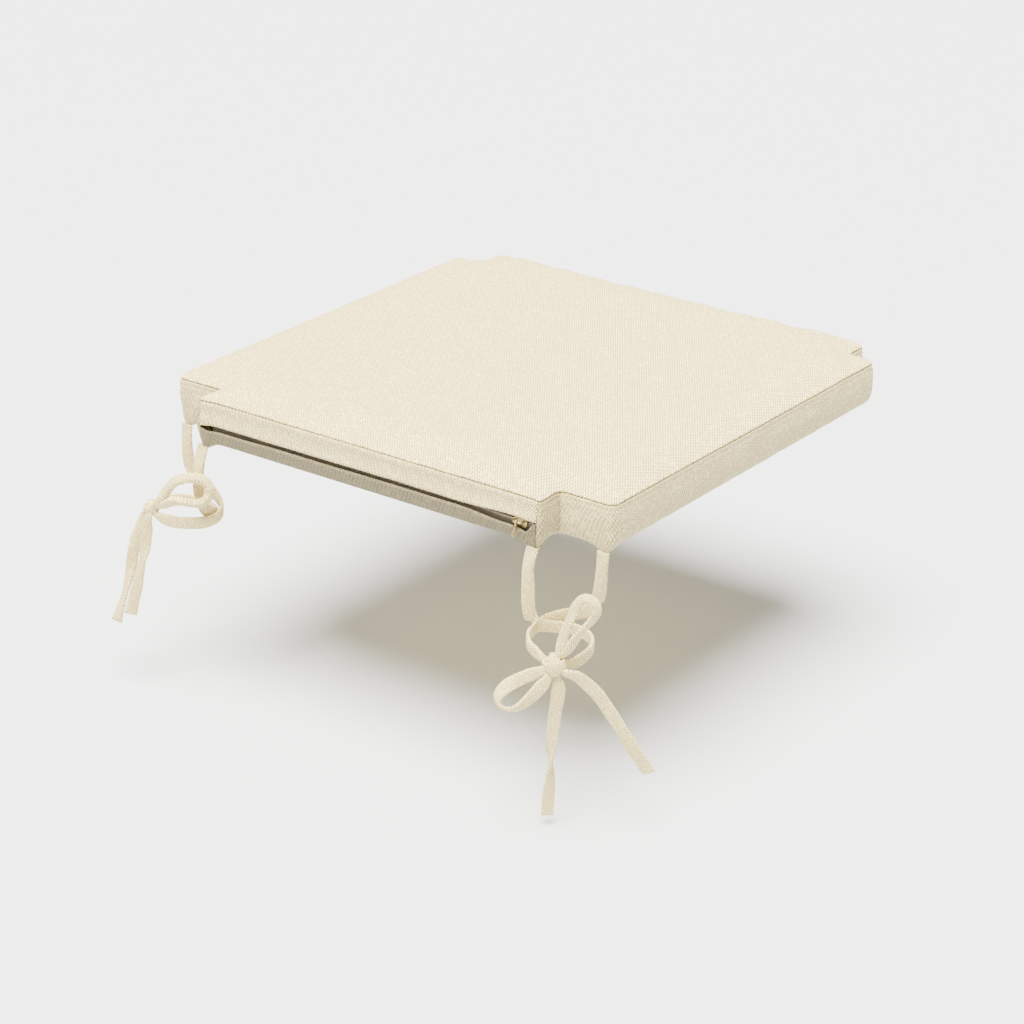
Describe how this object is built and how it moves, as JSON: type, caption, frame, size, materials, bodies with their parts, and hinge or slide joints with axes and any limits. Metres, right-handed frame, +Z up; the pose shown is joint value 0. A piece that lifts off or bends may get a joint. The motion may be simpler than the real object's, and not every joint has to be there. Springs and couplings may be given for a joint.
{
  "type": "seat cushion",
  "caption": "Boxed seat cushion for a dining chair, notched at its corners, with a rear zip, a metal slider, and fabric ties knotted in bows as they are round the chair's rear posts.",
  "frame": {"origin": "centre of the flat underside, halfway between the front and rear edges", "axes": "+X to the sitter's right, +Y to the front edge, +Z up out of the seat"},
  "size_m": [0.5117, 0.5088, 0.2616],
  "materials": {
    "cover_cloth": "two-tone cream and beige twill",
    "tie_cloth": "two-tone cream and beige twill strip",
    "foam": "open-cell foam",
    "fibre": "loose fibre wadding",
    "zip_tape": "woven olive-brown tape",
    "zip_coil": "nylon coil",
    "aged_brass": "antique plated"
  },
  "bodies": {
    "cushion": {"cover_top_panel": "cover_cloth", "cover_bottom_panel": "cover_cloth", "front_boxing": "cover_cloth", "side_boxing_left": "cover_cloth", "side_boxing_right": "cover_cloth", "rear_notch_boxing_left": "cover_cloth", "rear_notch_boxing_right": "cover_cloth", "zip_flap_upper": "cover_cloth", "zip_flap_lower": "cover_cloth", "tie_left_inner_drop": "tie_cloth", "tie_left_inner_loop": "tie_cloth", "tie_left_inner_tail": "tie_cloth", "tie_left_outer_drop": "tie_cloth", "tie_left_outer_tail": "tie_cloth", "tie_right_inner_drop": "tie_cloth", "tie_right_inner_loop": "tie_cloth", "tie_right_inner_tail": "tie_cloth", "tie_right_outer_drop": "tie_cloth", "tie_right_outer_loop": "tie_cloth", "tie_right_outer_tail": "tie_cloth", "bow_knot_left": "tie_cloth", "bow_knot_right": "tie_cloth", "foam_core": "foam", "wadding_top": "fibre", "wadding_bottom": "fibre", "zip_tape_upper": "zip_tape", "zip_tape_lower": "zip_tape", "zip_coil_upper": "zip_coil", "zip_coil_lower": "zip_coil"},
    "slider": {"zip_slider": "aged_brass"},
    "pull_tab": {"zip_pull_tab": "aged_brass"}
  },
  "joints": [
    {"name": "zip_slide", "type": "slide", "parent": "cushion", "child": "slider", "axis": [-1, 0, 0], "range_m": [0, 0.304]},
    {"name": "pull_tab_swing", "type": "hinge", "parent": "slider", "child": "pull_tab", "pos_m": [0.152, -0.2294, 0.0155], "axis": [-1, 0, 0], "range_deg": [0, 136]}
  ]
}
